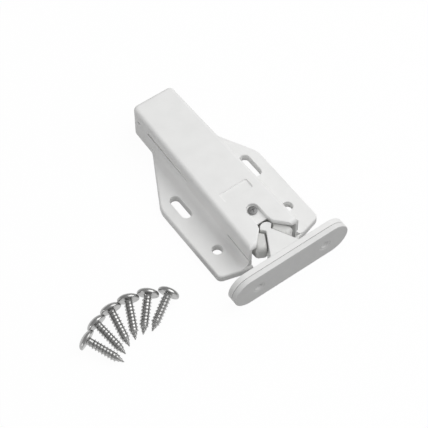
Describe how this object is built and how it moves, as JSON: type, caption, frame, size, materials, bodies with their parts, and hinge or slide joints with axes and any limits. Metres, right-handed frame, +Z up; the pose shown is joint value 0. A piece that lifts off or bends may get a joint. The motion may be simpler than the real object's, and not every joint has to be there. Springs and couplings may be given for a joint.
{
  "type": "touch latch",
  "caption": "Push-to-open cabinet touch latch with mounting wings, spring-driven slider, catching jaws, an oval-plate striker and loose mounting screws.",
  "frame": {"origin": "on the mounting face and the centre line, 0.5 mm behind the middle of the four wing holes", "axes": "+Z up from the mounting face, -Y out of the mouth towards the door, +X to the right when looking along +Y into the mouth"},
  "size_m": [0.1034, 0.0875, 0.0147],
  "materials": {
    "housing_plastic": "white moulded plastic, fine satin",
    "cover_plastic": "pale grey moulded plastic",
    "slider_plastic": "white moulded plastic",
    "jaw_plastic": "white low-friction plastic",
    "striker_plastic": "white moulded plastic",
    "pad_plastic": "white moulded plastic, satin",
    "screw_steel": "nickel-plated steel",
    "dark_steel": "dark plated steel",
    "spring_steel": "bright spring steel",
    "pin_steel": "ground steel"
  },
  "bodies": {
    "housing": {"housing": "housing_plastic", "base_cover": "cover_plastic", "spring_guide": "slider_plastic", "pivot_screw": "dark_steel", "pivot_collar": "slider_plastic", "push_spring": "spring_steel"},
    "slider": {"slider": "slider_plastic", "jaw_pin_left": "pin_steel", "jaw_pin_right": "pin_steel"},
    "jaw_left": {"jaw_left": "jaw_plastic", "jaw_spring_left": "spring_steel"},
    "jaw_right": {"jaw_right": "jaw_plastic", "jaw_spring_right": "spring_steel"},
    "cam_follower": {"cam_follower": "spring_steel"},
    "striker": {"striker": "striker_plastic", "striker_pad": "pad_plastic"},
    "screw_set": {"mounting_screw_1": "screw_steel", "mounting_screw_2": "screw_steel", "mounting_screw_3": "screw_steel", "mounting_screw_4": "screw_steel", "mounting_screw_5": "screw_steel", "mounting_screw_6": "screw_steel"}
  },
  "joints": [
    {"name": "push", "type": "slide", "parent": "housing", "child": "slider", "axis": [0, 1, 0], "range_m": [-0.0028, 0], "stiffness_N_per_m": 600, "springref_m": -0.0088, "deforming": ["push_spring"]},
    {"name": "jaw_left_pivot", "type": "hinge", "parent": "slider", "child": "jaw_left", "pos_m": [-0.0054, -0.016, 0.0061], "axis": [0, 0, 1], "range_deg": [-13.28, 0]},
    {"name": "jaw_right_pivot", "type": "hinge", "parent": "slider", "child": "jaw_right", "pos_m": [0.0054, -0.016, 0.0061], "axis": [0, 0, 1], "range_deg": [0, 13.28]},
    {"name": "cam_follower_swing", "type": "hinge", "parent": "housing", "child": "cam_follower", "pos_m": [0, -0.0113, 0.0113], "axis": [0, 0, 1], "range_deg": [0, 14]},
    {"name": "striker_lift", "type": "slide", "parent": "slider", "child": "striker", "axis": [0, 0, 1], "range_m": [0, 0.03]},
    {"name": "screw_set_lift", "type": "slide", "parent": "housing", "child": "screw_set", "axis": [0, 0, 1], "range_m": [0, 0.05]}
  ],
  "couplings": [
    {"joint": "jaw_left_pivot", "follows": "push", "rad_per_m": 82.79},
    {"joint": "jaw_right_pivot", "follows": "push", "rad_per_m": -82.79},
    {"joint": "cam_follower_swing", "follows": "push", "rad_per_m": -87.266}
  ]
}
